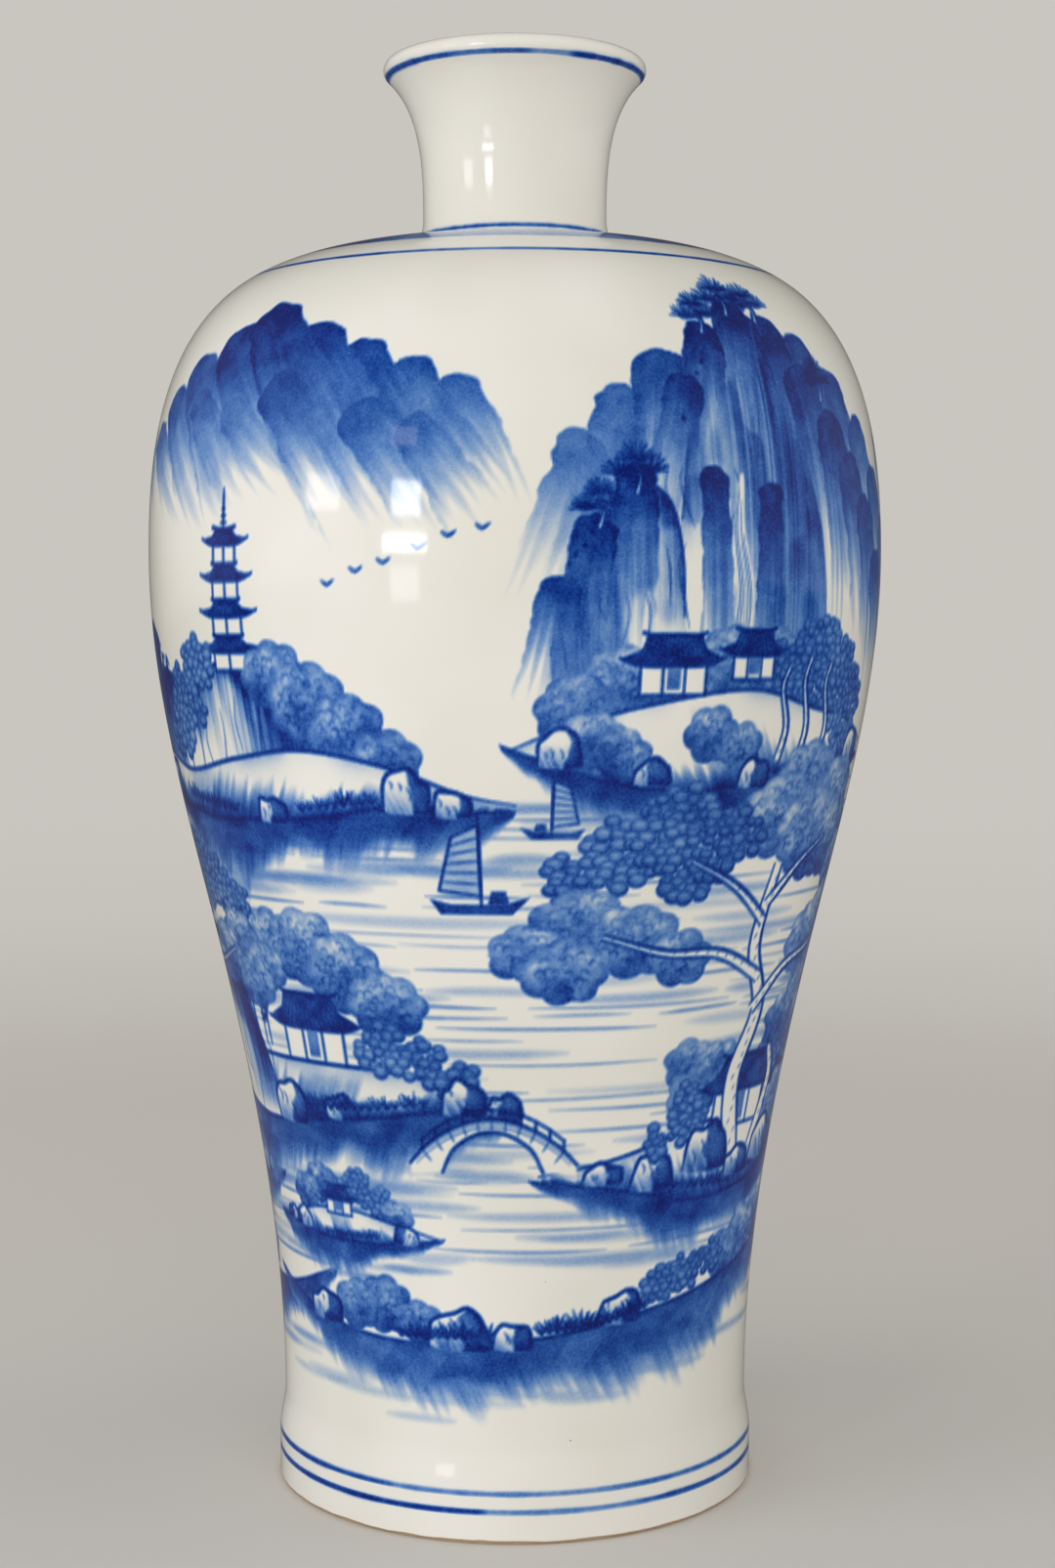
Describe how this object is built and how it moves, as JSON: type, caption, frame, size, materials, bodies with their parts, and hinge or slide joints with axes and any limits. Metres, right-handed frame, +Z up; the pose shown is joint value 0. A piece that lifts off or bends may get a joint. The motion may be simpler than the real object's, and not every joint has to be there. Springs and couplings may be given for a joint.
{
  "type": "meiping vase",
  "caption": "Tall meiping vase with a rolled lip on a short neck, a broad shoulder and a long taper to a recessed foot.",
  "frame": {"origin": "centre of the foot, on the surface that the vase stands on", "axes": "+Z up along the vase's axis; -Y is the side that faces the camera"},
  "size_m": [0.206, 0.206, 0.4],
  "materials": {
    "glazed_porcelain": "clear glossy glaze over cobalt-blue painting",
    "luting_slip": "fired slip, bare inside the joint"
  },
  "bodies": {
    "root": {"foot": "glazed_porcelain", "foot_seam": "luting_slip", "lower_body": "glazed_porcelain", "flank_seam": "luting_slip", "upper_body": "glazed_porcelain", "belly_seam": "luting_slip", "shoulder": "glazed_porcelain", "neck_seam": "luting_slip", "neck": "glazed_porcelain"}
  },
  "joints": []
}
